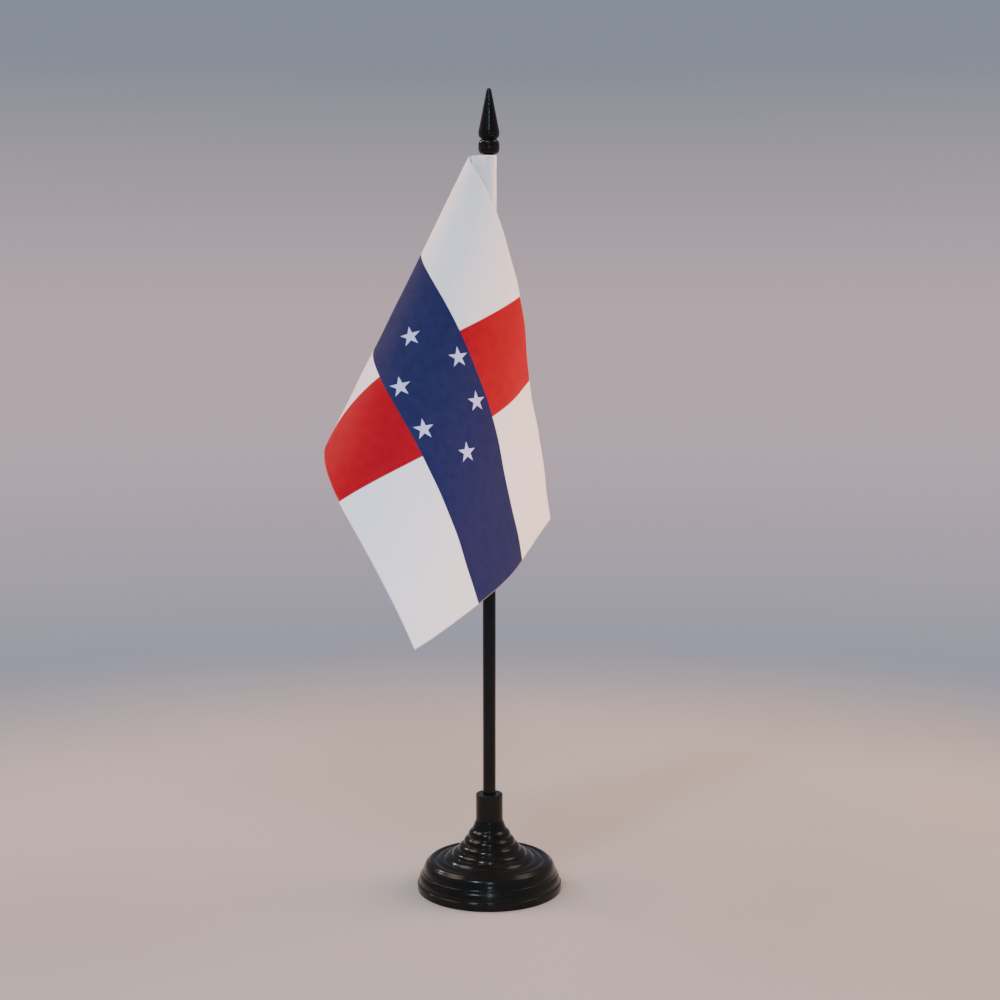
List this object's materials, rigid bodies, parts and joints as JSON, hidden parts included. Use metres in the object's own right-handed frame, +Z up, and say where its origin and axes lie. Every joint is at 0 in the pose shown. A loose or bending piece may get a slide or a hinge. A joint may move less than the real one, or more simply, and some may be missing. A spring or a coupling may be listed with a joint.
{
  "type": "desk flag stand",
  "caption": "Small cloth flag hanging from a sewn sleeve on a round pole with a spear finial, pushed into a ringed dome base that stands on a desk.",
  "frame": {"origin": "middle of the base's resting face, on the pole's axis", "axes": "+Z up along the pole, +X to the viewer's right, -Y towards the viewer who faces the flag"},
  "size_m": [0.0862, 0.0793, 0.2964],
  "materials": {
    "base_plastic": "glossy moulded black, fine turning rings",
    "pole_plastic": "smooth satin-gloss black",
    "finial_plastic": "glossy moulded black",
    "flag_cloth": "printed woven polyester with a slight sheen",
    "sleeve_cloth": "white woven polyester",
    "sewing_thread": "white polyester sewing thread"
  },
  "bodies": {
    "base": {"base_moulding": "base_plastic"},
    "pole": {"pole": "pole_plastic"},
    "finial": {"spear_finial": "finial_plastic"},
    "flag": {"flag_panel": "flag_cloth", "pole_sleeve": "sleeve_cloth", "needle_thread": "sewing_thread", "bobbin_thread": "sewing_thread"}
  },
  "joints": [
    {"name": "pole_lift", "type": "slide", "parent": "base", "child": "pole", "axis": [0, 0, 1], "range_m": [0, 0.034]},
    {"name": "flag_swing", "type": "hinge", "parent": "pole", "child": "flag", "pos_m": [0, 0, 0.2225], "axis": [0, 0, 1], "continuous": true},
    {"name": "finial_pull", "type": "slide", "parent": "pole", "child": "finial", "axis": [0, 0, 1], "range_m": [0, 0.01]}
  ]
}
